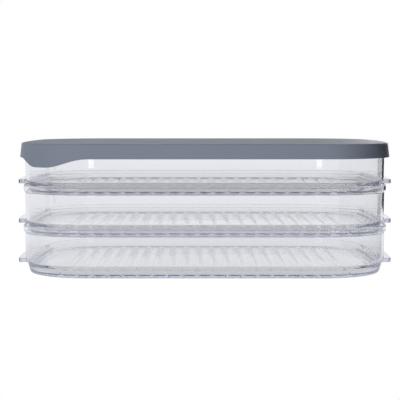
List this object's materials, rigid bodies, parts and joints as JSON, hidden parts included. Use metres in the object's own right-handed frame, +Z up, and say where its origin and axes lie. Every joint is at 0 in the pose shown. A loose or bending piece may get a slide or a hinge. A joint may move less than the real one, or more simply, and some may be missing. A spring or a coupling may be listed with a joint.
{
  "type": "stacking freezer storage box",
  "caption": "Long rounded stacking storage box: clear nested trays with ribbed floors and end grips, under a grey push-on lid with a thumb lip.",
  "frame": {"origin": "middle of the bottom tray's footprint, on the surface that the box stands on", "axes": "+X along the long sides, -Y out of the long side with the thumb lip at its left end, +Z up, the way each tier lifts off"},
  "size_m": [0.254, 0.1696, 0.0856],
  "materials": {
    "clear_tray": "clear moulded styrene plastic, polished, with a faint cool tint",
    "grey_lid": "blue-grey moulded polyethylene, satin"
  },
  "bodies": {
    "bottom_tray": {"tray_bottom": "clear_tray"},
    "middle_tray": {"tray_middle": "clear_tray"},
    "top_tray": {"tray_top": "clear_tray"},
    "lid": {"lid": "grey_lid"}
  },
  "joints": [
    {"name": "middle_tray_lift", "type": "slide", "parent": "bottom_tray", "child": "middle_tray", "axis": [0, 0, 1], "range_m": [0, 0.05]},
    {"name": "top_tray_lift", "type": "slide", "parent": "middle_tray", "child": "top_tray", "axis": [0, 0, 1], "range_m": [0, 0.05]},
    {"name": "lid_lift", "type": "slide", "parent": "top_tray", "child": "lid", "axis": [0, 0, 1], "range_m": [0, 0.05]}
  ]
}
